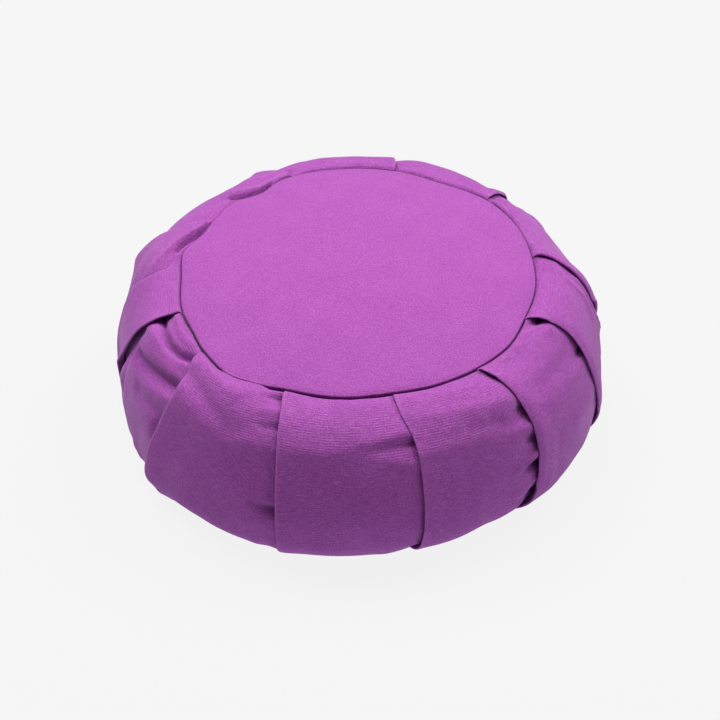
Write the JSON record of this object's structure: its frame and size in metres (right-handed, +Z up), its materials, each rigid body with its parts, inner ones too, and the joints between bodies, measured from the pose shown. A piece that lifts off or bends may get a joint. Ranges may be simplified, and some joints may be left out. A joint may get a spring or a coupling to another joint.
{
  "type": "zafu meditation cushion",
  "caption": "Round, low meditation cushion with a slightly crowned top panel and a knife-pleated side strip that laps over itself where it is filled.",
  "frame": {"origin": "on the floor, centred under the box round the cushion", "axes": "+Z up, -Y towards the pictured front, +X to its right"},
  "size_m": [0.339, 0.3406, 0.123],
  "materials": {
    "purple_cotton": "matt cotton canvas with a fine weave"
  },
  "bodies": {
    "root": {"pleated_side": "purple_cotton", "top_panel": "purple_cotton", "bottom_panel": "purple_cotton"}
  },
  "joints": []
}
